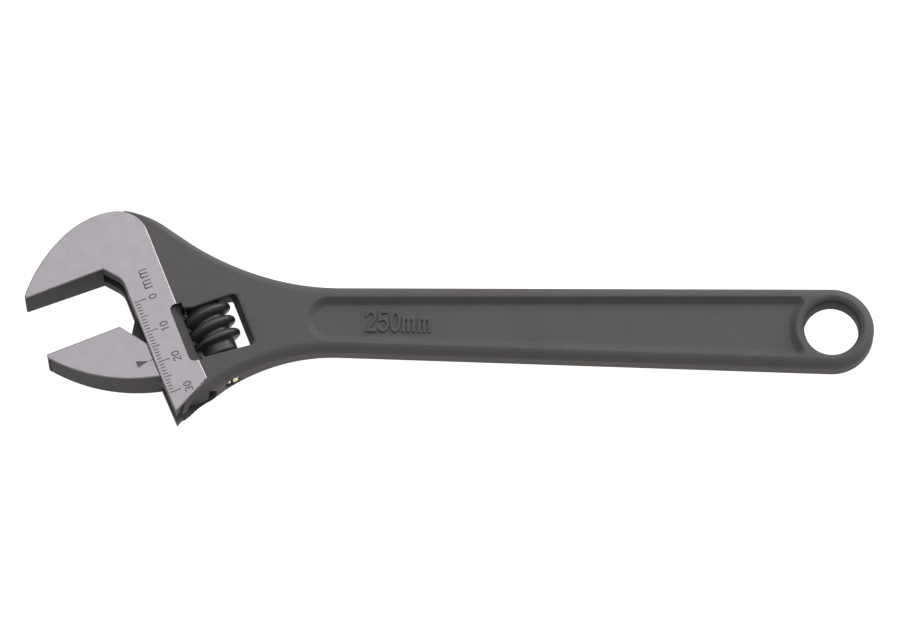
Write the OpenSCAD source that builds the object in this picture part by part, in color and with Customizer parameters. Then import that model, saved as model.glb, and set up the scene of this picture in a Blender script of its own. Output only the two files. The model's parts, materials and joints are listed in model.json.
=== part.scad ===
// Adjustable wrench: a forged handle with a fixed jaw, a sliding jaw with a rack,
// a knurled worm on its pin, and the worm's spring.
// The origin is the centre of the hanging hole at mid thickness. +X runs from the head
// to the hanging end, +Y towards the fixed jaw, and +Z out of the face with the scale.
// The head frame has its origin where the fixed jaw's face meets the line of the strip.
// Its x axis runs across the slide towards the handle, and the jaw opens along its -y axis.

/* [Head] */
// Angle between the jaw faces and the handle, in degrees
slide_angle = 22; // [21:0.5:23]
// Distance from the hanging hole back to the head frame's origin
head_back = 213.2; // [205:0.5:225]
// Height of the head frame's origin above the handle's line
head_up = 15.1; // [14.5:0.1:15.5]
// Length of each jaw, from the strip to its tip
jaw_reach = 28.9; // [26:0.1:30]
// Half the head's thickness at the strip
head_half = 7.9; // [7.6:0.1:8.4]
// Half the fixed jaw's thickness at its tip
jaw_tip_half = 6.5; // [5:0.1:7]
// Half the strip's thickness at its lower end
strip_tip_half = 7.2; // [6.8:0.1:7.6]
// Width of the ground strip that carries the scale
strip_w = 12.4; // [12:0.1:13]
// How far the strip runs past the fixed jaw's face
strip_len = 49.5; // [48:0.5:50]
// How far the ground faces stand above the forged neck
ground_step = 0.7; // [0.3:0.1:1]

/* [Jaw opening] */
// Opening between the jaw faces at rest
opening = 18.5; // [5:0.5:29]
// Angle of the jaws' inner corners, from the strip, in degrees
throat_angle = 40; // [30:1:50]

/* [Guide and rack] */
// Radius of the sliding jaw's guide
guide_r = 5.85; // [5.5:0.05:5.9]
// Radial clearance of the guide in its bore
guide_gap = 0.05; // [0.03:0.01:0.1]
// Distance of the guide's axis from the strip's edge
guide_x = 8.7; // [8.5:0.1:8.9]
// Thickness of the web between the guide and the sliding jaw
web_t = 6; // [5:0.1:7]
// Clearance on each side of the web in its slot
web_gap = 0.1; // [0.05:0.01:0.2]

/* [Worm] */
// Distance of the worm's axis from the strip's edge
worm_x = 20; // [19.9:0.1:20.2]
// Crest radius of the worm
worm_r = 7.7; // [7.5:0.05:7.8]
// Root radius of the worm
worm_root_r = 5.2; // [5:0.05:5.4]
// Lead of the worm's thread and pitch of the rack
lead = 4.3; // [4.2:0.05:4.4]
// Gap between a thread's flank and a rack tooth
mesh_gap = 0.2; // [0.15:0.01:0.3]
// Radius of the worm pin's plain shank
pin_r = 1.7; // [1.5:0.05:1.8]
// Radius of the worm pin's screwed end
pin_head_r = 2.4; // [2.2:0.05:2.6]

/* [Handle] */
// Radius of the rounded hanging end
end_r = 12.55; // [12:0.1:13]
// Half the handle's width at its waist
waist_r = 10.2; // [9.5:0.05:10.5]
// Distance from the hanging hole to the waist
waist_back = 146; // [142:1:150]
// Half the handle's thickness over its rails
handle_half = 4.9; // [4.6:0.1:5.2]
// Half the thickness of the recessed panel
panel_half = 3.1; // [2.8:0.1:3.5]
// Radius of the hanging hole
hole_r = 8.15; // [8:0.05:8.3]

/* [Hidden] */

past = 1;                 // how far a cutter runs past the faces that it cuts
waist_up = 0.37;          // height of the waist's centre above the handle's line
end_x = 0.1;              // centre of the hanging end's arc, past the hole
top_blend_r = 82;         // concave blend from the handle up to the fixed jaw
top_blend_sweep = 33;
low_blend_r = 57.2;       // concave blend from the handle down to the strip's end
low_blend_sweep = 36;
lug_turn = 4;             // the lug under the strip drops away from the blend

// The forging's sides bulge: each layer is [inset of its outline, share of its height].
side_layers = [[0, 0.5], [0.8, 0.8], [2.1, 1]];

throat_x = -4.3;          // the fixed jaw's face ends here
throat_y = throat_x / tan(throat_angle);
slot_top = 4.6;           // blind end of the web's slot, past the fixed jaw's face
bore_top = 5.4;           // blind end of the guide's bore
guide_top = 4;            // the guide, from the sliding jaw's face
guide_low = -27.2;
bore_r = guide_r + guide_gap;

window_y = [-36.2, -18.3];
window_x = [12.9, 29];
window_corner_r = 1.5;
pocket_y = [-36.8, -17.0];
pocket_x = 9.9;           // the worm window's shallow pocket starts here on the face
pocket_floor = 4.8;       // and has sloped down to here at the window

worm_y = [-36.0, -18.9];
crest_y = -26.24;         // a crest passes the worm's right side here at rest
worm_hubs = [2.8, 1.1];   // plain lengths at the worm's lower and upper end
thread_half = 1.6;        // half the thread's width at its root
spring_seat = 5;          // depth of the worm's counterbore
spring_seat_r = 2.9;
spring_r = 2.3;
wire_r = 0.3;
pin_y = [-44.2, -12.5];
pin_head_len = 5.6;
pin_gap = 0.05;

// A list of points along an arc, from angle a0 to a1.
function arc(c, r, a0, a1, n = 8) =
    [for (i = [0:n]) let (a = a0 + (a1 - a0) * i / n) c + r * [cos(a), sin(a)]];

module in_head() {
    translate([-head_back, head_up, 0])
        rotate([0, 0, slide_angle])
            children();
}

// A slab that is centred on the mid plane.
module slab(half) {
    linear_extrude(height = 2 * half, center = true)
        children();
}

// A prism along the slide, with its outline in the head's x and z.
module along_slide(y0, y1) {
    translate([0, y1, 0])
        rotate([90, 0, 0])
            linear_extrude(height = y1 - y0)
                children();
}

// A shaft or bore along the slide.
module rod(x, r, y0, y1) {
    translate([x, y1, 0])
        rotate([90, 0, 0])
            cylinder(h = y1 - y0, r = r, $fn = 96);
}

// ---- handle and head ----

// Direction of the handle's two edges, as the angles of their normals.
edge_rise = asin((end_r - waist_r) / (waist_back + end_x));
edge_drop = atan(waist_up / (waist_back + end_x));
top_normal = 90 + edge_rise - edge_drop;
low_normal = -90 - edge_rise - edge_drop;
waist = [-waist_back, waist_up];
top_centre = waist + (waist_r + top_blend_r) * [cos(top_normal), sin(top_normal)];
low_centre = waist + (waist_r + low_blend_r) * [cos(low_normal), sin(low_normal)];

// The forging's outline without the jaw: handle, blends and lug, moved in by an inset.
function forging_outline(inset) =
    let (
        crown = [-212, 10.2],
        top_end = top_normal + 180 - top_blend_sweep,
        low_end = low_normal + 180 + low_blend_sweep,
        top = arc(top_centre, top_blend_r + inset, top_end, top_normal + 180, 10),
        low = arc(low_centre, low_blend_r + inset, low_normal + 180, low_end, 10),
        low_run = 15.9 * [cos(low_end + 90 + lug_turn), sin(low_end + 90 + lug_turn)]
    )
    concat(
        arc(crown, 22.6 - inset, 90, 57, 5),
        top,
        arc([end_x, 0], end_r - inset, top_normal, low_normal, 24),
        low,
        [low[10] + low_run]
    );

// The fixed jaw and the strip, in the head frame.
module ground_plan() {
    polygon(concat(
        [[-jaw_reach, 0]],
        arc([7, -27.6], 45.8, 142, 110, 8),
        arc([-0.6, -9.4], 26.2, 109, 83, 6),
        arc([2.6, 6.7], 9.8, 82, 8, 8),
        [
            [strip_w, pocket_y[1]],
            [strip_w, pocket_y[0]],
            [strip_w + 0.4, -43],
            [0.4, -strip_len],
            [0, throat_y],
            [throat_x, 0]
        ]
    ));
}

// Limits for a taper: half the thickness is head_half from x = 0 on and tip_half at x = -reach.
module taper_profile(reach, tip_half) {
    polygon([
        [-reach, -tip_half], [0, -head_half], [60, -head_half],
        [60, head_half], [0, head_half], [-reach, tip_half]
    ]);
}

// The ground faces taper towards the jaw's tip and towards the strip's lower end.
module ground_head() {
    flat_end = -30;
    intersection() {
        slab(head_half)
            ground_plan();
        along_slide(-60, 30)
            taper_profile(jaw_reach, jaw_tip_half);
        translate([-60, flat_end, 0])
            rotate([90, 0, 90])
                linear_extrude(height = 120)
                    taper_profile(strip_len + flat_end, strip_tip_half);
    }
}

// Side view of the forging in x and z: thick at the head, thin from the waist on.
module side_view(share) {
    neck_half = head_half - ground_step;
    rotate([90, 0, 0])
        linear_extrude(height = 200, center = true)
            polygon([
                [-230, share * neck_half], [-193, share * neck_half],
                [-150, share * handle_half], [20, share * handle_half],
                [20, -share * handle_half], [-150, -share * handle_half],
                [-193, -share * neck_half], [-230, -share * neck_half]
            ]);
}

module forging() {
    for (layer = side_layers)
        intersection() {
            slab(head_half)
                polygon(forging_outline(layer[0]));
            side_view(layer[1]);
        }
}

// The recessed panel of one face, from the neck to the ring round the hole.
module panel_plan(grow) {
    left = [-151.2, 0.2];
    left_r = 5.2 + grow;
    difference() {
        polygon(concat(
            arc(left, left_r, 100, 260, 10),
            [[0, -7.4 - grow], [0, 7.4 + grow]]
        ));
        circle(r = 12.7 - grow, $fn = 96);
    }
}

module panel_recess() {
    for (side = [0, 1])
        mirror([0, 0, side]) {
            translate([0, 0, panel_half])
                linear_extrude(height = head_half)
                    panel_plan(0);
            translate([0, 0, (panel_half + handle_half) / 2])
                linear_extrude(height = head_half)
                    panel_plan(1.1);
        }
}

// The hanging hole, with a rounded rim on each face.
module hang_hole() {
    rim_r = handle_half / 2;
    cylinder(h = 4 * handle_half, r = hole_r, center = true, $fn = 96);
    for (side = [0, 1])
        mirror([0, 0, side])
            rotate_extrude($fn = 96)
                difference() {
                    translate([0, handle_half - rim_r])
                        square([hole_r + rim_r, rim_r + past]);
                    translate([hole_r + rim_r, handle_half - rim_r])
                        circle(r = rim_r, $fn = 48);
                }
}

module worm_window() {
    r = window_corner_r;
    width = window_x[1] - window_x[0];
    height = window_y[1] - window_y[0];
    translate([window_x[0], window_y[0], 0]) {
        slab(head_half + past)
            translate([r, 0])
                square([width - 2 * r, height]);
        slab(head_half + past)
            translate([0, r])
                square([width, height - 2 * r]);
        for (x = [r, width - r], y = [r, height - r])
            translate([x, y, 0])
                cylinder(h = 2 * (head_half + past), r = r, center = true, $fn = 48);
    }
    for (side = [-1, 1])
        along_slide(pocket_y[0], pocket_y[1])
            polygon([
                [pocket_x, side * (head_half + past)], [pocket_x, side * head_half],
                [window_x[0], side * pocket_floor], [window_x[0] + past, side * pocket_floor],
                [window_x[0] + past, side * (head_half + past)]
            ]);
}

module guide_cut() {
    low = -strip_len - 5;
    rod(guide_x, bore_r, low, bore_top);
    translate([throat_x + 0.1, low, -web_t / 2 - web_gap])
        cube([guide_x - throat_x, slot_top - low, web_t + 2 * web_gap]);
}

module pin_hole() {
    rod(worm_x, pin_r + pin_gap, -60, pin_y[1] + 0.3);
    rod(worm_x, pin_head_r + pin_gap, -60, pin_y[0] + pin_head_len + 0.2);
}

module handle_body() {
    color("dimgray")
        difference() {
            union() {
                forging();
                in_head()
                    ground_head();
            }
            panel_recess();
            hang_hole();
            in_head() {
                worm_window();
                guide_cut();
                pin_hole();
            }
        }
}

// ---- sliding jaw ----

// One groove between rack teeth, cut at the thread's helix angle.
module rack_groove(y) {
    root_x = worm_x - worm_r - mesh_gap;
    outer_x = guide_x + guide_r + past;
    helix = atan(lead / (2 * PI * worm_r));
    half_root = 0.75;
    half_outer = half_root + 0.42 * (outer_x - root_x);
    translate([0, y, 0])
        rotate([-helix, 0, 0])
            slab(guide_r + past)
                polygon([
                    [root_x, -half_root], [outer_x, -half_outer],
                    [outer_x, half_outer], [root_x, half_root]
                ]);
}

module jaw_plate() {
    gap = 0.12;
    root_half = 7.5;
    tip_half = 5.8;
    intersection() {
        slab(root_half)
            polygon(concat(
                [[-5.8, 0], [-jaw_reach, 0]],
                arc([-jaw_reach + 1.4, -1], 1.5, 180, 225, 3),
                arc([9.9, 29.8], 49.8, 219, 258.39, 12),
                [[-gap, -8.1]]
            ));
        along_slide(-25, past)
            polygon([
                [-jaw_reach, -tip_half], [0, -root_half],
                [0, root_half], [-jaw_reach, tip_half]
            ]);
    }
}

module jaw_web() {
    slab(web_t / 2)
        polygon([
            [-5, -2.5], [-3.4, -2.9], [-0.5, 1.8], [2.5, guide_top], [guide_x, guide_top],
            [guide_x, guide_low], [4, guide_low], [0.2, -19.5], [-3, -17]
        ]);
}

module movable_jaw() {
    first = -crest_y - opening + lead / 2;
    color("silver")
        in_head()
            translate([0, -opening, 0])
                difference() {
                    union() {
                        jaw_plate();
                        jaw_web();
                        rod(guide_x, guide_r, guide_low, guide_top);
                    }
                    for (k = [-3:4])
                        rack_groove(-first - k * lead);
                }
}

// ---- worm, pin and spring ----

// Height of the thread over its root, at a distance from the crest along the axis.
function ridge(t) = max(0, 1 - pow(abs(t) / thread_half, 2.5));

// Signed distance from the nearest crest for a point at height y and angle a.
function from_crest(y, a) =
    let (t = (y - crest_y) / lead - a / 360)
    (t - round(t)) * lead;

// The thread runs out over a short length next to each plain hub.
function run_out(y) =
    let (edge = min(y - worm_y[0] - worm_hubs[0], worm_y[1] - worm_hubs[1] - y))
    max(0, min(1, edge / 0.9));

function worm_radius(y, a) =
    worm_root_r + (worm_r - worm_root_r) * run_out(y) * ridge(from_crest(y, a));

module worm_blank() {
    sides = 40;
    rows = 48;
    span = worm_y[1] - worm_y[0];
    points = [
        for (j = [0:rows], i = [0:sides - 1])
            let (y = worm_y[0] + span * j / rows, a = 360 * i / sides, r = worm_radius(y, a))
            [r * cos(a), y, -r * sin(a)]
    ];
    skin = [
        for (j = [0:rows - 1], i = [0:sides - 1])
            let (a = j * sides + i, b = j * sides + (i + 1) % sides)
            each [[a, a + sides, b + sides], [a, b + sides, b]]
    ];
    low_cap = [for (i = [0:sides - 1]) i];
    top_cap = [for (i = [sides - 1:-1:0]) rows * sides + i];
    polyhedron(points, concat(skin, [low_cap], [top_cap]));
}

module worm() {
    color("gray")
        in_head()
            difference() {
                translate([worm_x, 0, 0])
                    worm_blank();
                rod(worm_x, pin_r + pin_gap, worm_y[0] - past, worm_y[1] + past);
                rod(worm_x, spring_seat_r, worm_y[1] - spring_seat, worm_y[1] + past);
            }
}

module worm_pin() {
    slot_w = 0.8;
    slot_deep = 0.9;
    color("goldenrod")
        in_head()
            difference() {
                union() {
                    rod(worm_x, pin_r, pin_y[0] + past, pin_y[1]);
                    rod(worm_x, pin_head_r, pin_y[0], pin_y[0] + pin_head_len);
                }
                translate([worm_x, pin_y[0], 0])
                    cube([slot_w, 2 * slot_deep, 3 * pin_head_r], center = true);
            }
}

// A wire of round section along a helix, as one closed mesh.
module worm_spring() {
    turns = 4.5;
    steps = 72;
    sides = 8;
    y0 = worm_y[1] - spring_seat + wire_r + 0.05;
    y1 = window_y[1] - wire_r - 0.05;
    points = [
        for (j = [0:steps], i = [0:sides - 1])
            let (
                a = 360 * turns * j / steps,
                y = y0 + (y1 - y0) * j / steps,
                s = 360 * i / sides,
                r = spring_r + wire_r * cos(s)
            )
            [worm_x + r * cos(a), y + wire_r * sin(s), -r * sin(a)]
    ];
    skin = [
        for (j = [0:steps - 1], i = [0:sides - 1])
            let (a = j * sides + i, b = j * sides + (i + 1) % sides)
            each [[a, b, b + sides], [a, b + sides, a + sides]]
    ];
    first_cap = [for (i = [sides - 1:-1:0]) i];
    last_cap = [for (i = [0:sides - 1]) steps * sides + i];
    color("lightgray")
        in_head()
            polyhedron(points, concat(skin, [first_cap], [last_cap]));
}

handle_body();
movable_jaw();
worm();
worm_spring();
worm_pin();
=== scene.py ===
"""The looks of the adjustable wrench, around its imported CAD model.

Each visible steel piece is a signed distance field, in millimetres, that is meshed by dual
contouring, so that rounded forged shapes and crisp ground edges both come from geometry.
The head frame has its origin where the fixed jaw's face meets the line of the strip: u runs
across the slide towards the handle, and the jaw opens along -v.
"""
import json
import math

import bpy
import numpy as np
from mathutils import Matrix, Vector


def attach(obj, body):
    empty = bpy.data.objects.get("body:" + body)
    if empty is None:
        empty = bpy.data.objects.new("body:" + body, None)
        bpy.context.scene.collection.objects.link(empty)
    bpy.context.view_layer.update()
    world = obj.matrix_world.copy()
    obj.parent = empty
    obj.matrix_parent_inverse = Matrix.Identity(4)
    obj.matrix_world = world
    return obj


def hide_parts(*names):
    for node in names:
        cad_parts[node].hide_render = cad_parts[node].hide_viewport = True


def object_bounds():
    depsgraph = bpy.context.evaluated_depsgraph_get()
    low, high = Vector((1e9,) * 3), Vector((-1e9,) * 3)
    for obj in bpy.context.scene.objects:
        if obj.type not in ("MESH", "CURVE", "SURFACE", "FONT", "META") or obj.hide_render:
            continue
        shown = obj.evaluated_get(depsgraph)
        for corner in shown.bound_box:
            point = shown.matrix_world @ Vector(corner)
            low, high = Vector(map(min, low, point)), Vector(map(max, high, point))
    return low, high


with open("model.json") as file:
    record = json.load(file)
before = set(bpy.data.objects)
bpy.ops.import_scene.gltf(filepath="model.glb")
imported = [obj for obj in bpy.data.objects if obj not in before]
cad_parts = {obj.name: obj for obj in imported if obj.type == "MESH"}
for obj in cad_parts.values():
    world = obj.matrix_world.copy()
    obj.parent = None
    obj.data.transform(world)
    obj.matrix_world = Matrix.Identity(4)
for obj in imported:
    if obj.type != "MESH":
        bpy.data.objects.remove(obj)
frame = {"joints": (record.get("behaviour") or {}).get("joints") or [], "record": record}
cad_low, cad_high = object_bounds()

MM = 0.001

# ---- driving dimensions, in millimetres ----

HALF_THICK = 7.88           # ground faces of the head, a little under the solid's, for the marks
JAW_TIP_HALF = 6.5          # half the fixed jaw's thickness at its tip
STRIP_TIP_HALF = 7.2        # half the strip's thickness at its lower end
JAW_HALF = 7.5              # the sliding jaw, at the strip and at its tip
SLIDING_TIP_HALF = 5.8
STRIP_FLAT_END = -30        # the strip tapers below here
NECK_HALF = 7.2             # forged neck beside the ground faces
HANDLE_HALF = 4.9           # over the handle's rails
PANEL_HALF = 3.1            # in the recessed panel
JAW_REACH = 28.9
STRIP_WIDTH = 12.4
STRIP_LENGTH = 49.5
FACE_MIDDLE = 15            # from the strip's line to the mount on the fixed jaw's face
GROUND_BEVEL = 0.22         # in depth
BEVEL_SLOPE = 0.7           # depth over width
BEVEL_RISE = 0.95           # a ground face whose normal rises less is a bevel, drawn with a painted highlight
THROAT_START = -4.3         # where the fixed jaw's face ends at the jaws' inner corner, in u
THROAT_ARC = (-5, -6.94, 5, 0, 40)
GUIDE_X = 8.7
GUIDE_R = 5.85
BORE_R = 5.9
BORE_TOP = 5.4              # where the guide's bore ends, in v
BORE_START = -60            # every bore comes in from here, outside the head
RUNNING_GAP = 0.05          # between a shaft and its bore
WEB_HALF = 3
WORM_X = 20
WORM_CREST_R = 7.7
WORM_ROOT_R = 5.2
WORM_SPAN = (-36.0, -18.9)
WORM_HUBS = (2.8, 1.9)
CREST_V = -26.24            # a crest passes the worm's right side here at rest
LEAD = 4.3
THREAD_HALF = 1.8
PIN_R = 1.7
PIN_HEAD_R = 2.4
PIN_SPAN = (-44.2, -12.5)
PIN_HEAD_LENGTH = 5.6
SPRING_SEAT = 5
SPRING_SEAT_R = 2.9
SPRING_R = 2.3
SPRING_TURNS = 4.5
WIRE_R = 0.3

# ---- the head frame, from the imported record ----

RECORD = frame["record"]
MOUNTS = {mount["name"]: mount for mount in RECORD["mounts"]}
SLIDE_AXIS = next(j for j in frame["joints"] if j["name"] == "jaw_slide")["axis"]
HEAD_COS = -SLIDE_AXIS[1]
HEAD_SIN = SLIDE_AXIS[0]
HEAD_ANGLE = math.atan2(HEAD_SIN, HEAD_COS)
HOLE_R = MOUNTS["hang_hole"]["dims"]["r_mm"]
FACE_POINT = [c / MM for c in MOUNTS["fixed_jaw_face"]["pos_m"]]
JAW_POINT = [c / MM for c in MOUNTS["movable_jaw_face"]["pos_m"]]
HEAD_X = FACE_POINT[0] + FACE_MIDDLE * HEAD_COS
HEAD_Y = FACE_POINT[1] + FACE_MIDDLE * HEAD_SIN
OPENING = sum((b - a) * c for a, b, c in zip(FACE_POINT, JAW_POINT, SLIDE_AXIS))


def to_head(x, y):
    dx = x - HEAD_X
    dy = y - HEAD_Y
    return HEAD_COS * dx + HEAD_SIN * dy, HEAD_COS * dy - HEAD_SIN * dx


def from_head(points):
    """Head-frame points as row-frame points, both in millimetres."""
    u, v, z = np.asarray(points, float).T
    x = HEAD_X + HEAD_COS * u - HEAD_SIN * v
    y = HEAD_Y + HEAD_SIN * u + HEAD_COS * v
    return np.stack([x, y, z], 1)


# ---- signed distances: negative inside the solid ----

class Outline:
    """A closed outline of points (x, y) and arcs (x, y, radius, first angle, last angle)."""

    def __init__(self, *parts):
        self.arcs = [part for part in parts if len(part) == 5]
        ends = []
        for part in parts:
            if len(part) == 2:
                ends.append((part, part))
            else:
                ends.append((on_arc(part, part[3]), on_arc(part, part[4])))
        self.chords = [end for part, end in zip(parts, ends) if len(part) == 5]
        self.lines = []
        for (_, last), (first, _) in zip(ends, ends[1:] + ends[:1]):
            if math.dist(last, first) > 1e-6:
                self.lines.append((last, first))

    def distance(self, x, y):
        shape = np.broadcast(x, y).shape
        nearest = np.full(shape, np.inf)
        inside = np.zeros(shape, bool)
        for (x0, y0), (x1, y1) in self.lines:
            dx = x1 - x0
            dy = y1 - y0
            along = np.clip(((x - x0) * dx + (y - y0) * dy) / (dx * dx + dy * dy), 0, 1)
            nearest = np.minimum(nearest, np.hypot(x - x0 - along * dx, y - y0 - along * dy))
        for (x0, y0), (x1, y1) in self.lines + self.chords:
            if y0 != y1:
                crossing = x0 + (y - y0) * (x1 - x0) / (y1 - y0)
                inside ^= ((y0 > y) != (y1 > y)) & (x < crossing)
        for cx, cy, radius, first, last in self.arcs:
            middle = math.radians((first + last) / 2)
            reach = math.cos(math.radians(last - first) / 2)
            away = np.hypot(x - cx, y - cy)
            forward = (x - cx) * math.cos(middle) + (y - cy) * math.sin(middle)
            gap = np.where(forward >= away * reach, np.abs(away - radius), np.inf)
            sx, sy = on_arc((cx, cy, radius), first)
            nearest = np.minimum(nearest, np.minimum(gap, np.hypot(x - sx, y - sy)))
            inside ^= (away < radius) & (forward > radius * reach)
        return np.where(inside, -nearest, nearest)


def on_arc(arc, degrees):
    angle = math.radians(degrees)
    return arc[0] + arc[2] * math.cos(angle), arc[1] + arc[2] * math.sin(angle)


def round_meet(a, b, radius):
    """The intersection of two solids, with a rounded outer edge."""
    outer = np.hypot(np.maximum(a + radius, 0), np.maximum(b + radius, 0))
    return np.minimum(np.maximum(a, b), -radius) + outer


def bevel_meet(a, b, leg):
    """The intersection of two solids, with a bevelled outer edge."""
    return np.maximum(np.maximum(a, b), (a + b + leg) * math.sqrt(0.5))


def cut(solid, tool):
    return np.maximum(solid, -tool)


def blend_low(a, b, reach):
    """The lower of two heights, with a smooth turn from one to the other."""
    h = np.clip(0.5 + 0.5 * (b - a) / reach, 0, 1)
    return b + (a - b) * h - reach * h * (1 - h)


def ease(t):
    t = np.clip(t, 0, 1)
    return t * t * (3 - 2 * t)


def rounded_box(u, v, us, vs, radius):
    du = np.abs(u - (us[0] + us[1]) / 2) - (us[1] - us[0]) / 2 + radius
    dv = np.abs(v - (vs[0] + vs[1]) / 2) - (vs[1] - vs[0]) / 2 + radius
    return np.hypot(np.maximum(du, 0), np.maximum(dv, 0)) + np.minimum(np.maximum(du, dv), 0) - radius


def rod(across, z, v, radius, low, high):
    return bevel_meet(np.hypot(across, z) - radius, np.maximum(low - v, v - high), 0.01)


# ---- handle and head ----

END_R = 12.55
END_X = 0.1
WAIST_R = 10.2
WAIST = (-146, 0.37)
TOP_BLEND = (82, 33)        # concave blends: radius and sweep in degrees
LOW_BLEND = (57.2, 36)
LOW_RUN = 15.9
LUG_TURN = 4                # the lug under the strip drops away from the blend
PANEL_SLOPE = 0.44          # half the slope of the panel's wall
PANEL_SOFTNESS = 0.06       # rounds the wall's foot


def forging_outline():
    span = END_X - WAIST[0]
    rise = math.degrees(math.asin((END_R - WAIST_R) / span))
    drop = math.degrees(math.atan(WAIST[1] / span))
    top = 90 + rise - drop
    low = -90 - rise - drop
    top_centre = on_arc((*WAIST, WAIST_R + TOP_BLEND[0]), top)
    low_centre = on_arc((*WAIST, WAIST_R + LOW_BLEND[0]), low)
    low_end = low + 180 + LOW_BLEND[1]
    lug = on_arc((*low_centre, LOW_BLEND[0]), low_end)
    return Outline(
        (-212, 10.2, 22.6, 90, 57),
        (*top_centre, TOP_BLEND[0], top + 180 - TOP_BLEND[1], top + 180),
        (END_X, 0, END_R, top, low),
        (*low_centre, LOW_BLEND[0], low + 180, low_end),
        on_arc((*lug, LOW_RUN), low_end + 90 + LUG_TURN),
    )


FORGING = forging_outline()
PANEL = Outline(
    (-149.2, -0.05, 4.95, 100, 260),
    on_arc((0, 0, 12.7), 215.6),
    (0, 0, 12.7, 215.6, 144.4),
)
GROUND = Outline(
    (-JAW_REACH, 0),
    (7, -27.6, 45.8, 142, 112.66),
    (-0.6, -9.4, 26.08, 112.66, 78.76),
    (2.6, 6.7, 9.665, 78.76, 0.5),
    (STRIP_WIDTH, -17),
    (STRIP_WIDTH, -36.8),
    (STRIP_WIDTH + 0.4, -43),
    (0.4, -STRIP_LENGTH),
    (0, -36),
    THROAT_ARC,
    (THROAT_START, 0),
)
WINDOW_U = (12.9, 29)
WINDOW_V = (-36.2, -18.75)
WINDOW_CORNER_R = 1.6
WINDOW_EDGE_R = 0.6
WINDOW_FLARE = 1.4          # how far the right wall leans out at each face
WINDOW_LEAN = 1.3           # how far the lower wall rises from left to right
LIP_DEPTH = 5.3             # over this height, the front face reaches down over the window's top
LIP_DROPS = (1.0, 1.1)      # at the window's left end, and what is added to its right
POCKET_U = (9.9, 22)        # the pocket beside the window, in the strip
POCKET_V = (-36.8, -18.0)
POCKET_CORNER_R = 1.8
POCKET_FLOOR = 7.2          # the floor's height at the pocket's left end
POCKET_SLOPE = 0.7
SLOT_LEFT = -4.2            # the slot for the sliding jaw's web
SLOT_TOP = 4.6


def forged_half(x):
    """Half the forging's thickness: thick at the head, thin from the waist on."""
    return HANDLE_HALF + (NECK_HALF - HANDLE_HALF) * ease((-150 - x) / 43)


def ground_half(u, v):
    """Half the head's thickness over its ground faces, which taper to the jaw and the strip's end."""
    to_jaw = np.clip(-u / JAW_REACH, 0, 1) * (HALF_THICK - JAW_TIP_HALF)
    to_tip = np.clip((STRIP_FLAT_END - v) / (STRIP_LENGTH + STRIP_FLAT_END), 0, 1)
    return HALF_THICK - to_jaw - to_tip * (HALF_THICK - STRIP_TIP_HALF)


def forging(x, y, depth):
    """The forging's bulged sides and rails, with the recessed panel on each face."""
    half = forged_half(x)
    fullness = 0.5 + 1.6 * ease((x + 212) / 14)
    bulge = fullness * np.maximum(depth / half / 0.58 - 0.72, 0) ** 2
    side = FORGING.distance(x, y) + bulge
    beyond = PANEL.distance(x, y)
    wall = PANEL_HALF + PANEL_SLOPE * (beyond + np.sqrt(beyond ** 2 + PANEL_SOFTNESS))
    edge = 0.5 + 0.3 * ease((x + 190) / 40)
    return round_meet(side, depth - blend_low(half, wall, 0.2), edge)


def with_hang_hole(solid, x, y, depth):
    """The hanging hole, whose rim is a quarter round on each face."""
    away = np.hypot(x, y)
    ring = round_meet(HOLE_R - away, depth - HANDLE_HALF, HANDLE_HALF / 2)
    return np.where(away < END_R + END_X, np.maximum(solid, ring), solid)


def window(u, v, z):
    """The worm's window: its lower and right walls lean, and a lip on the front face tops it."""
    u = u - WINDOW_FLARE * np.clip(np.abs(z) / HALF_THICK, 0, 1) * np.clip((u - WORM_X) / 4, 0, 1)
    rise = np.clip((v - WINDOW_V[0]) / (WINDOW_V[1] - WINDOW_V[0]), 0, 1)
    across = np.clip((u - WINDOW_U[0]) / (WINDOW_U[1] - WINDOW_U[0]), 0, 1)
    lip = ease((z - LIP_DEPTH) / 0.7) * (LIP_DROPS[0] + LIP_DROPS[1] * ease(4 * across))
    v = v + lip * rise + WINDOW_LEAN * across * (1 - rise)
    return rounded_box(u, v, WINDOW_U, WINDOW_V, WINDOW_CORNER_R)


def pocket(u, v, depth):
    """The hollow in the strip beside the window, with a sloping floor."""
    floor = POCKET_FLOOR - POCKET_SLOPE * (u - POCKET_U[0])
    hollow = np.maximum(rounded_box(u, v, POCKET_U, POCKET_V, POCKET_CORNER_R), floor - depth)
    return np.maximum(hollow, u - WINDOW_U[0] - 1)


def web_slot(u, v, depth):
    across = np.maximum(depth - WEB_HALF - 0.1, u - GUIDE_X)
    return np.maximum(across, np.maximum(v - SLOT_TOP, SLOT_LEFT - u))


def handle_field(x, y, z):
    """The handle and the head in one piece, with all that is cut into them."""
    u, v = to_head(x, y)
    depth = np.abs(z)
    face = np.maximum(GROUND.distance(u, v), -JAW_REACH - u)
    ground = bevel_meet(face * BEVEL_SLOPE, depth - ground_half(u, v), GROUND_BEVEL)
    solid = np.minimum(forging(x, y, depth), ground)
    solid = with_hang_hole(solid, x, y, depth)
    solid = cut(solid, pocket(u, v, depth))
    solid = round_meet(solid, -window(u, v, z), WINDOW_EDGE_R)
    solid = cut(solid, rod(u - GUIDE_X, z, v, BORE_R, BORE_START, BORE_TOP))
    solid = cut(solid, web_slot(u, v, depth))
    shank_end = PIN_SPAN[1] + 0.3
    head_end = PIN_SPAN[0] + PIN_HEAD_LENGTH + 0.2
    solid = cut(solid, rod(u - WORM_X, z, v, PIN_R + RUNNING_GAP, BORE_START, shank_end))
    return cut(solid, rod(u - WORM_X, z, v, PIN_HEAD_R + RUNNING_GAP, BORE_START, head_end))


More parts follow.
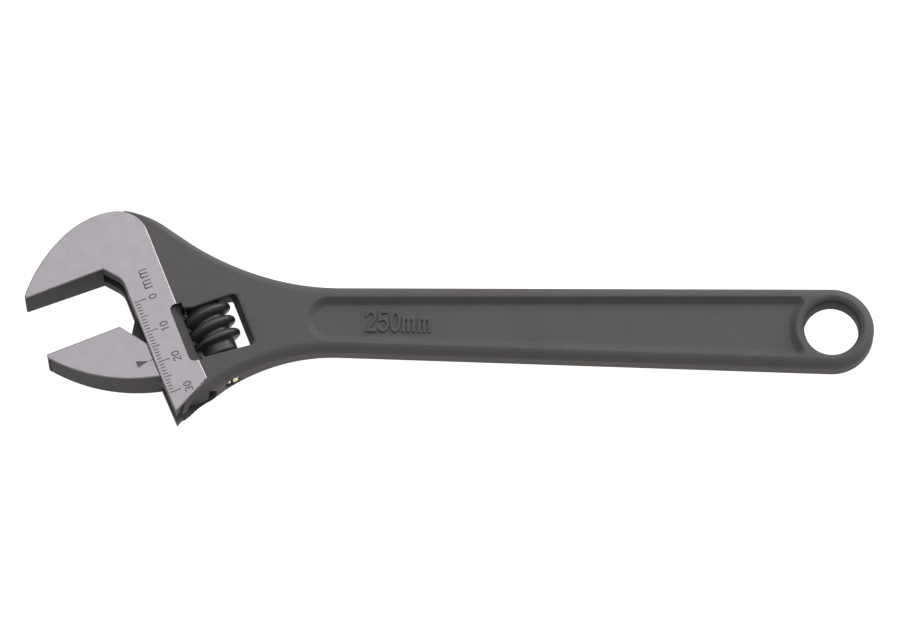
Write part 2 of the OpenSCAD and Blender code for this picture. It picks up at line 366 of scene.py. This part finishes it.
def handle_finish(points, normals):
    """Which of forged steel, ground steel, forged steel drawn darker as painted shade, and ground steel
    drawn lighter as a painted highlight each face has.
    """
    x, y, z = points.T
    u, v = to_head(x, y)
    rise = np.abs(normals[:, 2])
    faces_up = rise > 0.5
    ground = faces_up & (np.abs(z) > ground_half(u, v) - GROUND_BEVEL) & (GROUND.distance(u, v) < 0.02)
    in_window = ~faces_up & (window(u, v, z) < 0.3)
    in_pocket = ~ground & (u < WINDOW_U[0] + 1.2)
    in_pocket &= rounded_box(u, v, POCKET_U, POCKET_V, POCKET_CORNER_R) < 0.1
    at_jaws = ~faces_up & (u < 0.4) & (v < 0.3)
    in_hole = np.hypot(x, y) - HOLE_R < 1.1 * (1 - rise)
    # painted shade: walls in the window, the pocket and the hanging hole, and at the jaws, get the darker
    # copy of the forged steel
    painted_shade = in_window | in_pocket | at_jaws | in_hole
    # slot 3 is a painted highlight on the ground faces' bevels; slot 2 is painted shade
    return np.select([ground & (rise < BEVEL_RISE), ground, painted_shade], [3, 1, 2])


# ---- sliding jaw, in the head frame with its face at v = 0 ----

JAW_PLATE = Outline(
    (-5.8, 0),
    (-JAW_REACH, 0),
    (-27.5, -1, 1.5, 180, 225),
    (9.9, 29.8, 49.8, 219, 258.46),
    (-0.06, -8.1),
)
JAW_WEB = Outline(
    (-5, -2.5), (-3.4, -2.9), (-0.5, 1.8), (2.5, 4), (GUIDE_X, 4),
    (GUIDE_X, -27.2), (4, -27.2), (0.2, -19.5), (-3, -17),
)
GUIDE_SPAN = (-27.2, 4)
RACK_TEETH = (-4, 3)        # the first and the last groove
RACK_GAP = 0.2              # between the thread's crest and the groove's root
GROOVE_HALF = 0.95          # half a groove's width at its root, and what it gains with height
GROOVE_SLOPE = 0.42


def jaw_half(u):
    return JAW_HALF - (JAW_HALF - SLIDING_TIP_HALF) * np.clip(-u / JAW_REACH, 0, 1)


def jaw_field(u, v, z):
    """The sliding jaw: its plate, its web and its round guide, which the rack is cut into."""
    depth = np.abs(z)
    face = JAW_PLATE.distance(u, v) * BEVEL_SLOPE
    plate = bevel_meet(face, depth - jaw_half(u), GROUND_BEVEL)
    web = np.maximum(JAW_WEB.distance(u, v), depth - WEB_HALF)
    ends = np.maximum(GUIDE_SPAN[0] - v, v - GUIDE_SPAN[1])
    guide = bevel_meet(np.hypot(u - GUIDE_X, z) - GUIDE_R, ends, 0.5)
    solid = np.minimum(np.minimum(plate, web), guide)
    helix = math.atan(LEAD / (2 * math.pi * WORM_CREST_R))
    root = WORM_X - WORM_CREST_R - RACK_GAP
    first = -CREST_V - OPENING + LEAD / 2
    along = v - z * math.tan(helix) + first
    tooth = np.clip(np.round(along / LEAD), *RACK_TEETH)
    groove = np.abs(along - tooth * LEAD) * math.cos(helix) - GROOVE_HALF - GROOVE_SLOPE * (u - root)
    groove = groove / math.hypot(1, GROOVE_SLOPE)
    return cut(solid, np.maximum(groove, root - u))


def jaw_finish(points, normals):
    """Which of forged steel drawn darker as painted shade, and ground steel, each face has."""
    return (np.abs(points[:, 2]) > jaw_half(points[:, 0]) - GROUND_BEVEL) & (np.abs(normals[:, 2]) > 0.5)


# ---- worm and its pin, in the head frame ----

KNURLS = 52
KNURL_DEPTH = 0.05
THREAD_FADE = 0.9           # the length over which the thread rises at each end
THREAD_POWER = 2.5          # a higher power makes the thread's top fuller
SCREW_PITCH = 0.8
SCREW_DEPTH = 0.3
DRIVER_SLOT_HALF = 0.4
DRIVER_SLOT_DEPTH = 0.9


def worm_field(u, v, z):
    """The worm: a right-handed rounded thread on a core, bored for its pin and its spring."""
    away = np.hypot(u - WORM_X, z)
    turn = np.arctan2(-z, u - WORM_X) / (2 * math.pi)
    from_crest = (v - CREST_V) / LEAD - turn
    from_crest = (from_crest - np.round(from_crest)) * LEAD
    ridge = np.maximum(0, 1 - (np.abs(from_crest) / THREAD_HALF) ** THREAD_POWER)
    low = WORM_SPAN[0] + WORM_HUBS[0]
    high = WORM_SPAN[1] - WORM_HUBS[1]
    run_out = np.clip(np.minimum(v - low, high - v) / THREAD_FADE, 0, 1)
    notch = np.maximum(0, np.cos(2 * math.pi * KNURLS * turn)) ** 2 * ease((ridge - 0.55) / 0.3)
    radius = WORM_ROOT_R + (WORM_CREST_R - WORM_ROOT_R) * run_out * ridge - KNURL_DEPTH * notch
    ends = np.maximum(WORM_SPAN[0] - v, v - WORM_SPAN[1])
    solid = bevel_meet(away - radius, ends, 0.4)
    solid = cut(solid, away - PIN_R - RUNNING_GAP)
    seat = np.maximum(away - SPRING_SEAT_R, WORM_SPAN[1] - SPRING_SEAT - v)
    return cut(solid, seat)


def pin_field(u, v, z):
    """The pin: a plain shank on a threaded head with a slot for a screwdriver."""
    away = np.hypot(u - WORM_X, z)
    turn = np.arctan2(z, u - WORM_X) / (2 * math.pi)
    groove = np.abs((v / SCREW_PITCH + turn) % 1 - 0.5)
    head_end = PIN_SPAN[0] + PIN_HEAD_LENGTH
    head_ends = np.maximum(PIN_SPAN[0] - v, v - head_end)
    head = bevel_meet(away - PIN_HEAD_R + 2 * SCREW_DEPTH * groove, head_ends, 0.3)
    shank_ends = np.maximum(PIN_SPAN[0] + 1 - v, v - PIN_SPAN[1])
    shank = bevel_meet(away - PIN_R, shank_ends, 0.4)
    slot = np.maximum(np.abs(u - WORM_X) - DRIVER_SLOT_HALF, v - PIN_SPAN[0] - DRIVER_SLOT_DEPTH)
    return cut(np.minimum(head, shank), slot)


# ---- dual contouring ----

BISECTIONS = 5              # before one straight-line step
SLOPE_STEP = 1e-3
SINGULAR = 0.06             # smaller eigenvalues of a cell's planes are left out
MERGE = 4                   # cells along each side of a block that may become one vertex
MERGE_FLATNESS = 0.9998
CORNER_STEP = 0.05          # how far inside its face a corner's normal is read


def slope(field, points):
    """Unit normals of a field at points."""
    steps = SLOPE_STEP * np.eye(3)
    rises = [field(*(points + step).T) - field(*(points - step).T) for step in steps]
    return unit(np.stack(rises, 1))


def unit(vectors):
    return vectors / np.maximum(np.linalg.norm(vectors, axis=1, keepdims=True), 1e-12)


def crossings(field, axes, inside, axis):
    """Where the grid lines along one axis pass through the surface: points and quads of cells."""
    low_part = [slice(None)] * 3
    high_part = [slice(None)] * 3
    low_part[axis] = slice(None, -1)
    high_part[axis] = slice(1, None)
    index = np.argwhere(inside[tuple(low_part)] != inside[tuple(high_part)])
    outward = inside[tuple(index.T)]
    points = np.stack([axes[k][index[:, k]] for k in range(3)], 1)
    low = points[:, axis].copy()
    high = axes[axis][index[:, axis] + 1].copy()
    for _ in range(BISECTIONS):
        points[:, axis] = (low + high) / 2
        same = (field(*points.T) < 0) == outward
        low = np.where(same, points[:, axis], low)
        high = np.where(same, high, points[:, axis])
    points[:, axis] = low
    value = np.abs(field(*points.T))
    points[:, axis] = high
    share = value / np.maximum(value + np.abs(field(*points.T)), 1e-12)
    points[:, axis] = low + (high - low) * share
    second = (axis + 1) % 3
    third = (axis + 2) % 3
    ring = []
    for back in ((1, 1), (0, 1), (0, 0), (1, 0)):
        cell = index.copy()
        cell[:, second] -= back[0]
        cell[:, third] -= back[1]
        ring.append(np.ravel_multi_index(cell.T, inside.shape))
    quads = np.stack(ring, 1)
    quads[~outward] = quads[~outward, ::-1]
    return points, quads


def contour(field, axes):
    """Vertices and faces of the surface where a field is zero, sharp where the field is."""
    inside = field(*np.ix_(*axes)) < 0
    found = [crossings(field, axes, inside, axis) for axis in range(3)]
    points = np.concatenate([pair[0] for pair in found])
    normals = slope(field, points)
    cells, corners = np.unique(np.concatenate([pair[1] for pair in found]), return_inverse=True)
    corners = corners.reshape(-1, 4)
    flat = corners.ravel()
    near = np.repeat(points, 4, axis=0)
    facing = np.repeat(normals, 4, axis=0)

    def gather(values):
        return np.stack([np.bincount(flat, column, len(cells)) for column in values.T], 1)

    count = gather(np.ones((len(flat), 1)))
    centre = gather(near) / count
    lean = ((near - centre[flat]) * facing).sum(1, keepdims=True)
    outer = (facing[:, :, None] * facing[:, None, :]).reshape(-1, 9)
    weights, directions = np.linalg.eigh(gather(outer).reshape(-1, 3, 3))
    strong = weights > SINGULAR * weights[:, 2:]
    inverse = np.where(strong, 1 / np.where(strong, weights, 1), 0)
    target = np.einsum("nji,nj->ni", directions, gather(facing * lean))
    places = centre + np.einsum("nij,nj->ni", directions, inverse * target)
    index = np.stack(np.unravel_index(cells, inside.shape), 1)
    for k in range(3):
        places[:, k] = np.clip(places[:, k], axes[k][index[:, k]], axes[k][index[:, k] + 1])
    places, corners = merge_flat(places, corners, index, gather(facing), count)
    return places, faces_from(corners)


def merge_flat(places, corners, index, facing, count):
    """Joins the vertices of each block of cells whose surface is almost flat."""
    blocks, block = np.unique(index // MERGE, axis=0, return_inverse=True)
    block = block.ravel()

    def total(values):
        return np.stack([np.bincount(block, column, len(blocks)) for column in values.T], 1)

    flatness = np.linalg.norm(total(facing), axis=1) / total(count)[:, 0]
    joined = (flatness > MERGE_FLATNESS)[block]
    means = total(places) / np.bincount(block, minlength=len(blocks))[:, None]
    places = np.where(joined[:, None], means[block], places)
    key = np.where(joined, block, len(blocks) + np.arange(len(places)))
    _, first, kept = np.unique(key, return_index=True, return_inverse=True)
    return places[first], kept.ravel()[corners]


def faces_from(corners):
    """Quads without repeated corners, as triangles where one corner is lost."""
    faces = []
    for quad in corners.tolist():
        ring = [a for a, b in zip(quad, quad[1:] + quad[:1]) if a != b]
        if len(ring) > 2 and len(set(ring)) == len(ring):
            faces.append(ring)
    return faces


def spaced(*stops):
    """Grid lines from (start, step) stops and a final end."""
    parts = []
    for (start, step), after in zip(stops[:-1], stops[1:]):
        end = after[0]
        parts.append(np.linspace(start, end, max(2, round((end - start) / step) + 1))[:-1])
    parts.append([stops[-1][0]])
    return np.concatenate(parts)


def field_piece(name, field, axes, materials, finish=None, local=False, lift=0):
    """Meshes a field and shades each face's corners with the field's own normals."""
    places, faces = contour(field, axes)
    starts = np.cumsum([0] + [len(face) for face in faces])
    corner = np.concatenate([np.array(face) for face in faces])
    owner = np.repeat(np.arange(len(faces)), np.diff(starts))
    sizes = np.diff(starts)[:, None]
    middles = np.add.reduceat(places[corner], starts[:-1]) / sizes
    inward = middles[owner] - places[corner]
    length = np.maximum(np.linalg.norm(inward, axis=1, keepdims=True), 1e-9)
    samples = places[corner] + inward * np.minimum(CORNER_STEP / length, 0.25)
    normals = slope(field, samples)
    material_index = np.zeros(len(faces), np.int32)
    if finish is not None:
        material_index[:] = finish(middles, unit(np.add.reduceat(normals, starts[:-1])))
    if local:
        places = from_head(places + [0, lift, 0])
        turned = HEAD_COS * normals[:, 0] - HEAD_SIN * normals[:, 1]
        normals[:, 1] = HEAD_SIN * normals[:, 0] + HEAD_COS * normals[:, 1]
        normals[:, 0] = turned
    piece = mesh_piece(name, places, faces, materials)
    piece.data.polygons.foreach_set("material_index", material_index)
    piece.data.normals_split_custom_set(normals)
    return piece


def mesh_piece(name, places, faces, materials):
    mesh = bpy.data.meshes.new(name)
    mesh.from_pydata((np.asarray(places) * MM).tolist(), [], faces)
    mesh.polygons.foreach_set("use_smooth", [True] * len(mesh.polygons))
    for material in materials:
        mesh.materials.append(material)
    piece = bpy.data.objects.new(name, mesh)
    bpy.context.scene.collection.objects.link(piece)
    return piece


# ---- marks ----

MARK_RISE = 0.015           # how far a mark stands above its ground face
MARK_SINK = 0.1
TICK_HALF = 0.15
STROKE_HALF = 0.17


def sweep(x, y, radius, first, last, count=9):
    """Points along an arc."""
    return [on_arc((x, y, radius), first + (last - first) * i / (count - 1)) for i in range(count)]


GLYPHS = {
    "0": [[(0.29 + 0.27 * math.cos(a), 0.5 + 0.5 * math.sin(a)) for a in np.linspace(0, 2 * math.pi, 21)]],
    "1": [[(0.08, 0.76), (0.32, 1), (0.32, 0)]],
    "2": [sweep(0.28, 0.73, 0.27, 165, -35) + [(0.02, 0), (0.58, 0)]],
    "3": [sweep(0.27, 0.75, 0.25, 150, -90), sweep(0.27, 0.26, 0.26, 90, -150)],
    "5": [[(0.53, 1), (0.1, 1), (0.06, 0.56)] + sweep(0.27, 0.32, 0.31, 125, -145, 13)],
    "m": [
        [(0.04, 0), (0.04, 0.7)],
        [(0.04, 0.45)] + sweep(0.205, 0.53, 0.165, 160, 0, 7) + [(0.37, 0)],
        [(0.37, 0.45)] + sweep(0.535, 0.53, 0.165, 160, 0, 7) + [(0.7, 0)],
    ],
}
ADVANCE = {"m": 1.02, " ": 0.35}
DIGIT_ADVANCE = 0.78


def text_strokes(text, height):
    """Strokes of a short text with its middle at the origin, reading along +x."""
    strokes = []
    cursor = 0
    for letter in text:
        for stroke in GLYPHS.get(letter, []):
            strokes.append([((cursor + x) * height, y * height) for x, y in stroke])
        cursor += ADVANCE.get(letter, DIGIT_ADVANCE)
    middle = (cursor - 0.2) * height / 2
    return [[(x - middle, y - height / 2) for x, y in stroke] for stroke in strokes]


def ribbon(stroke, half):
    """Left and right sides of a stroke, with mitred corners."""
    points = np.array(stroke, float)
    runs = unit(np.diff(points, axis=0))
    before = np.vstack([runs[:1], runs])
    after = np.vstack([runs, runs[-1:]])
    if np.allclose(points[0], points[-1]):
        before[0] = runs[-1]
        after[-1] = runs[0]
    middle = unit(before + after)
    sides = np.stack([-middle[:, 1], middle[:, 0]], 1)
    sides *= half / np.maximum((middle * after).sum(1, keepdims=True), 0.5)
    return points + sides, points - sides


class Marks:
    """Thin solids on a face whose height is a function of u and v, collected as one mesh."""

    def __init__(self, height, rise):
        self.height = height
        self.rise = rise
        self.points = []
        self.faces = []

    def plate(self, outline):
        """A flat solid with a convex outline."""
        first = len(self.points)
        count = len(outline)
        for drop in (self.rise, -MARK_SINK):
            self.points += [(u, v, float(self.height(u, v)) + drop) for u, v in outline]
        top = [first + i for i in range(count)]
        self.faces.append(top)
        self.faces.append([i + count for i in reversed(top)])
        for a, b in zip(top, top[1:] + top[:1]):
            self.faces.append([a, a + count, b + count, b])

    def stroke(self, stroke, half):
        left, right = ribbon(stroke, half)
        for a, b, c, d in zip(right[:-1], right[1:], left[1:], left[:-1]):
            self.plate([a, b, c, d])


# ---- scale, pointer and size mark ----

SCALE_ZERO = -13.4          # the scale's zero, in v
SCALE_LENGTH = 30
TICK_START = 0.9
TICKS = {10: 4.5, 5: 3.2, 1: 2.4}
LABEL_U = 6.6
LABEL_HEIGHT = 2.15
UNIT_U = 6.0
UNIT_V = -7.3
UNIT_HEIGHT = 3.5
SIZE_MARK = "250mm"
SIZE_MARK_X = -128.8
SIZE_MARK_HEIGHT = 5.9
SIZE_MARK_RISE = 0.6
SIZE_MARK_HALF = 0.5
SIZE_MARK_EDGE_R = 0.15
SIZE_MARK_NARROW = 0.78     # how much narrower it is than the scale's letters
POINTER_V = -13.4           # the index line, in the jaw's own frame


def upright(strokes, u, v):
    """Turns strokes so that they read along +v, with their tops towards -u, about (u, v)."""
    return [[(u - y, v + x) for x, y in stroke] for stroke in strokes]


def add_scale(marks):
    """The millimetre scale on the strip: its lines, its numbers and its unit."""
    for tick in range(SCALE_LENGTH + 1):
        end = next(reach for every, reach in TICKS.items() if tick % every == 0)
        v = SCALE_ZERO - tick
        marks.stroke([(TICK_START, v), (end, v)], TICK_HALF)
    labels = [(str(n), LABEL_HEIGHT, LABEL_U, SCALE_ZERO - n) for n in range(0, SCALE_LENGTH + 1, 10)]
    for text, height, u, v in labels + [("mm", UNIT_HEIGHT, UNIT_U, UNIT_V)]:
        for stroke in upright(text_strokes(text, height), u, v):
            marks.stroke(stroke, STROKE_HALF)


def stroke_distance(strokes, x, y):
    """Distance to the nearest of some strokes, which are chains of straight lines."""
    nearest = np.inf
    for stroke in strokes:
        for (x0, y0), (x1, y1) in zip(stroke, stroke[1:]):
            dx = x1 - x0
            dy = y1 - y0
            along = np.clip(((x - x0) * dx + (y - y0) * dy) / (dx * dx + dy * dy), 0, 1)
            nearest = np.minimum(nearest, np.hypot(x - x0 - along * dx, y - y0 - along * dy))
    return nearest


def size_mark_field(x, y, z):
    """Raised letters on the panel, with soft edges."""
    wide = (x - SIZE_MARK_X) / SIZE_MARK_NARROW
    away = stroke_distance(text_strokes(SIZE_MARK, SIZE_MARK_HEIGHT), wide, y) - SIZE_MARK_HALF
    height = np.maximum(z - PANEL_HALF - SIZE_MARK_RISE, PANEL_HALF - 0.2 - z)
    return round_meet(away, height, SIZE_MARK_EDGE_R)


def mark_piece(name, marks, material, body, lift=0):
    places = from_head(np.array(marks.points) + [0, lift, 0])
    piece = mesh_piece(name, places, marks.faces, [material])
    piece.data.polygons.foreach_set("use_smooth", [False] * len(piece.data.polygons))
    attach(piece, body)


# ---- materials ----

def new_material(name, colour, metallic, roughness):
    """A material with constant finish on its shader, and its tree and shader to build on."""
    material = bpy.data.materials.new(name)
    material.use_nodes = True
    shader = material.node_tree.nodes["Principled BSDF"]
    shader.inputs["Base Color"].default_value = (*colour, 1)
    shader.inputs["Metallic"].default_value = metallic
    shader.inputs["Roughness"].default_value = roughness
    return material, material.node_tree, shader


def add_node(tree, kind, inputs=None, **settings):
    node = tree.nodes.new(kind)
    for key, value in settings.items():
        setattr(node, key, value)
    for key, value in (inputs or {}).items():
        if isinstance(value, bpy.types.NodeSocket):
            tree.links.new(value, node.inputs[key])
        else:
            node.inputs[key].default_value = value
    return node


def place(tree, stretch=(1, 1, 1), turn=0):
    """Coordinates in metres on the piece, turned about z and stretched."""
    coordinates = add_node(tree, "ShaderNodeTexCoord")
    inputs = {"Vector": coordinates.outputs["Object"], "Rotation": (0, 0, turn), "Scale": stretch}
    return add_node(tree, "ShaderNodeMapping", inputs).outputs["Vector"]


def noise(tree, vector, scale, detail=3, rough=0.55):
    inputs = {"Vector": vector, "Scale": scale, "Detail": detail, "Roughness": rough}
    return add_node(tree, "ShaderNodeTexNoise", inputs).outputs["Fac"]


def ramp(tree, value, stops):
    """Turns a value into a colour through (position, colour) stops."""
    node = add_node(tree, "ShaderNodeValToRGB", {"Fac": value})
    elements = node.color_ramp.elements
    while len(elements) < len(stops):
        elements.new(0.5)
    for element, (position, colour) in zip(elements, stops):
        element.position = position
        element.color = (*colour, 1)
    return node.outputs["Color"]


def mix(tree, kind, share, first, second):
    node = add_node(tree, "ShaderNodeMix", data_type="RGBA", blend_type=kind)
    for socket, value in ((node.inputs[0], share), (node.inputs[6], first), (node.inputs[7], second)):
        if isinstance(value, bpy.types.NodeSocket):
            tree.links.new(value, socket)
        elif isinstance(value, tuple):
            socket.default_value = (*value, 1)
        else:
            socket.default_value = value
    return node.outputs[2]


def spread(tree, value, low, high):
    """Maps noise from its usual range to low..high."""
    inputs = {"Value": value, "From Min": 0.3, "From Max": 0.7, "To Min": low, "To Max": high}
    return add_node(tree, "ShaderNodeMapRange", inputs).outputs["Result"]


def bump(tree, height, strength, distance, normal=None):
    inputs = {"Height": height, "Strength": strength, "Distance": distance}
    if normal is not None:
        inputs["Normal"] = normal
    return add_node(tree, "ShaderNodeBump", inputs).outputs["Normal"]


def scaled(colour, factor):
    return tuple(c * factor for c in colour)


FORGED = (0.095, 0.091, 0.091)
GROUND_STEEL = (0.31, 0.29, 0.313)
WORM_COAT = (0.042, 0.042, 0.039)
ZINC = ((0.62, 0.5, 0.26), (0.75, 0.68, 0.52))          # each drifts between two tints
WIRE = ((0.4, 0.4, 0.4), (0.3, 0.3, 0.31))
ETCHED = ((0.06, 0.05, 0.058), (0.1, 0.082, 0.094))


def forged_steel(name, colour, sheen=0.08, roughness=0.68):
    """Shot-blasted forging with a matte phosphate coat."""
    material, tree, shader = new_material(name, colour, 0.08, roughness)
    shader.inputs["Specular IOR Level"].default_value = sheen
    vector = place(tree)
    patches = noise(tree, vector, 90, 4)
    pits = noise(tree, vector, 2600, 2, 0.6)
    tone = ramp(tree, patches, [(0.3, scaled(colour, 0.94)), (0.7, scaled(colour, 1.06))])
    speckle = ramp(tree, pits, [(0.3, (0.9, 0.9, 0.9)), (0.7, (1.1, 1.09, 1.08))])
    tree.links.new(mix(tree, "MULTIPLY", 1.0, tone, speckle), shader.inputs["Base Color"])
    tree.links.new(spread(tree, patches, roughness - 0.05, roughness + 0.05), shader.inputs["Roughness"])
    tree.links.new(bump(tree, pits, 0.4, 0.00006), shader.inputs["Normal"])
    return material


def ground_steel(name, colour):
    """Ground and blasted steel: a fine even grain with faint mottling."""
    material, tree, shader = new_material(name, colour, 0.5, 0.42)
    scratches = noise(tree, place(tree, (300, 2600, 2600), -HEAD_ANGLE), 1, 4, 0.7)
    mottle = noise(tree, place(tree), 300, 5, 0.7)
    tone = ramp(tree, mottle, [(0.3, scaled(colour, 0.94)), (0.7, scaled(colour, 1.06))])
    lines = ramp(tree, scratches, [(0.3, (0.96, 0.96, 0.96)), (0.7, (1.04, 1.04, 1.04))])
    tree.links.new(mix(tree, "MULTIPLY", 1.0, tone, lines), shader.inputs["Base Color"])
    tree.links.new(spread(tree, scratches, 0.35, 0.46), shader.inputs["Roughness"])
    tree.links.new(bump(tree, scratches, 0.25, 0.00001), shader.inputs["Normal"])
    return material


def smooth_metal(name, colour, other, metallic, roughness):
    """Smooth metal whose tint drifts between two colours."""
    material, tree, shader = new_material(name, colour, metallic, roughness)
    drift = noise(tree, place(tree), 700, 3)
    fine = noise(tree, place(tree), 4000, 2)
    tree.links.new(ramp(tree, drift, [(0.35, colour), (0.65, other)]), shader.inputs["Base Color"])
    tree.links.new(spread(tree, fine, roughness - 0.06, roughness + 0.08), shader.inputs["Roughness"])
    tree.links.new(bump(tree, fine, 0.2, 0.00001), shader.inputs["Normal"])
    return material


forged = forged_steel("forged_coat", FORGED)
ground = ground_steel("ground_face", GROUND_STEEL)
# a lighter copy of the ground steel: a painted highlight on the bevels of the handle's ground faces
painted_highlight = ground_steel("bevel_painted_highlight", scaled(GROUND_STEEL, 1.05))
# a darker copy of the forged steel: painted shade on the handle's hollows and on the sliding jaw's forged
# faces
shaded_forged = forged_steel("forged_painted_shade", scaled(FORGED, 0.65))
worm_coat = forged_steel("worm_coat", WORM_COAT, sheen=0.45, roughness=0.45)
zinc = smooth_metal("yellow_zinc", *ZINC, metallic=1.0, roughness=0.25)
wire = smooth_metal("spring_wire", *WIRE, metallic=1.0, roughness=0.3)
etched = smooth_metal("etched_mark", *ETCHED, metallic=0.2, roughness=0.6)


# ---- pieces ----

handle = field_piece(
    "forged_handle", handle_field,
    (
        spaced((-241, 0.32), (-177, 1.0), (-160, 0.5), (-145, 2.0), (-16, 0.4), (13.4,)),
        spaced((-34, 0.32), (38.4,)),
        spaced((-8.35, 0.29), (8.35,)),
    ),
    [forged, ground, shaded_forged, painted_highlight], handle_finish,
)
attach(handle, "handle")
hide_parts("handle_body")

# the sliding jaw's forged faces all get the darker copy of the forged steel, as painted shade
jaw = field_piece(
    "sliding_jaw", jaw_field,
    (spaced((-29.5, 0.23), (15.2,)), spaced((-28, 0.23), (4.6,)), spaced((-7.8, 0.24), (7.8,))),
    [shaded_forged, ground], jaw_finish, local=True, lift=-OPENING,
)
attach(jaw, "jaw")
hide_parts("movable_jaw")

worm = field_piece(
    "thumb_worm_wheel", worm_field,
    (
        spaced((WORM_X - 8, 0.17), (WORM_X + 8.01,)),
        spaced((WORM_SPAN[0] - 0.4, 0.17), (WORM_SPAN[1] + 0.4,)),
        spaced((-8.01, 0.17), (8.01,)),
    ),
    [worm_coat], local=True,
)
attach(worm, "thumb_worm")
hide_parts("worm")

pin = field_piece(
    "screw_pin", pin_field,
    (
        spaced((WORM_X - 2.6, 0.11), (WORM_X + 2.61,)),
        spaced(
            (PIN_SPAN[0] - 0.3, 0.1),
            (PIN_SPAN[0] + PIN_HEAD_LENGTH + 0.5, 0.8),
            (PIN_SPAN[1] - 0.8, 0.1),
            (PIN_SPAN[1] + 0.3,),
        ),
        spaced((-2.61, 0.11), (2.61,)),
    ),
    [zinc], local=True,
)
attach(pin, "handle")
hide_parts("worm_pin")


def spring_piece():
    """A round wire along a helix that seats in the worm and ends at the window's wall."""
    steps = 220
    sides = 14
    low = WORM_SPAN[1] - SPRING_SEAT + WIRE_R + RUNNING_GAP
    high = WINDOW_V[1] - WIRE_R - RUNNING_GAP
    share = np.linspace(0, 1, steps + 1)[:, None]
    turn = 2 * math.pi * SPRING_TURNS * share
    side = 2 * math.pi * np.arange(sides)[None, :] / sides
    away = SPRING_R + WIRE_R * np.cos(side)
    u = WORM_X + away * np.cos(turn)
    v = low + (high - low) * share + WIRE_R * np.sin(side)
    z = -away * np.sin(turn)
    places = from_head(np.stack([u, v, z], 2).reshape(-1, 3))
    faces = []
    for j in range(steps):
        for i in range(sides):
            a = j * sides + i
            b = j * sides + (i + 1) % sides
            faces.append([a, b, b + sides, a + sides])
    faces.append(list(range(sides))[::-1])
    faces.append([steps * sides + i for i in range(sides)])
    return mesh_piece("coil_spring", places, faces, [wire])


spring = spring_piece()
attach(spring, "handle")
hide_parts("worm_spring")

scale = Marks(ground_half, MARK_RISE)
add_scale(scale)
mark_piece("scale_marks", scale, etched, "handle")

pointer = Marks(lambda u, v: jaw_half(u), MARK_RISE)
pointer.plate([(-5.2, POINTER_V + 1.4), (-5.2, POINTER_V - 0.8), (-1.6, POINTER_V)])
pointer.stroke([(-1.2, POINTER_V), (-0.25, POINTER_V)], TICK_HALF)
mark_piece("pointer_mark", pointer, etched, "jaw", lift=-OPENING)

size_mark = field_piece(
    "size_mark", size_mark_field,
    (
        spaced((SIZE_MARK_X - 12, 0.19), (SIZE_MARK_X + 12,)),
        spaced((-4.5, 0.19), (4.5,)),
        spaced((PANEL_HALF - 0.3, 0.12), (PANEL_HALF + 0.7,)),
    ),
    [forged],
)
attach(size_mark, "handle")


# ---- floor, light and camera ----

CAMERA_TURN = 0.96          # azimuth and elevation in degrees
CAMERA_RISE = 71
CAMERA_AWAY = 2.3156
CAMERA_LENS = 310.75
FLOOR_SIZE = 8
FLOOR_TONE = (1, 0.97, 0.94)
FLOOR_GLOW = 1.05           # the floor is a light table
SKY_STRENGTH = 0.2
AIM_SHIFT = Vector((0.0002, 0.0008, 0))
KEY_PLACE = Vector((0.0, 0.65, 1.35))
RIM_PLACE = Vector((1.1, 0.95, 0.55))


def stage_floor():
    half = FLOOR_SIZE / 2
    low = cad_low.z
    corners = [(-half, -half, low), (half, -half, low), (half, half, low), (-half, half, low)]
    mesh = bpy.data.meshes.new("floor")
    mesh.from_pydata(corners, [], [(0, 1, 2, 3)])
    material, _, shader = new_material("floor_paint", (0.3, 0.3, 0.3), 0.0, 0.9)
    shader.inputs["Emission Color"].default_value = (*FLOOR_TONE, 1)
    shader.inputs["Emission Strength"].default_value = FLOOR_GLOW
    mesh.materials.append(material)
    floor = bpy.data.objects.new("floor", mesh)
    bpy.context.scene.collection.objects.link(floor)


def softbox(name, place_at, size, watts, target):
    light = bpy.data.lights.new(name, "AREA")
    light.shape = "DISK"
    light.size = size
    light.energy = watts
    lamp = bpy.data.objects.new(name, light)
    lamp.location = place_at
    lamp.rotation_euler = (target - lamp.location).to_track_quat("-Z", "Y").to_euler()
    bpy.context.scene.collection.objects.link(lamp)


def sky(strength):
    world = bpy.data.worlds.new("studio")
    world.use_nodes = True
    world.node_tree.nodes["Background"].inputs["Color"].default_value = (1, 1, 1, 1)
    world.node_tree.nodes["Background"].inputs["Strength"].default_value = strength
    bpy.context.scene.world = world


def add_camera(target):
    turn = math.radians(CAMERA_TURN)
    rise = math.radians(CAMERA_RISE)
    direction = Vector((math.sin(turn), -math.cos(turn), 0)) * math.cos(rise)
    direction.z = math.sin(rise)
    data = bpy.data.cameras.new("camera")
    data.lens = CAMERA_LENS
    data.sensor_width = 36
    camera = bpy.data.objects.new("camera", data)
    camera.location = target + direction * CAMERA_AWAY
    camera.rotation_euler = (-direction).to_track_quat("-Z", "Y").to_euler()
    bpy.context.scene.collection.objects.link(camera)
    bpy.context.scene.camera = camera


middle = (cad_low + cad_high) / 2
stage_floor()
sky(SKY_STRENGTH)
softbox("key", KEY_PLACE, size=3.0, watts=36, target=middle)
softbox("rim", RIM_PLACE, size=0.9, watts=13, target=middle)
add_camera(middle + AIM_SHIFT)
bpy.context.scene.view_settings.view_transform = "Standard"
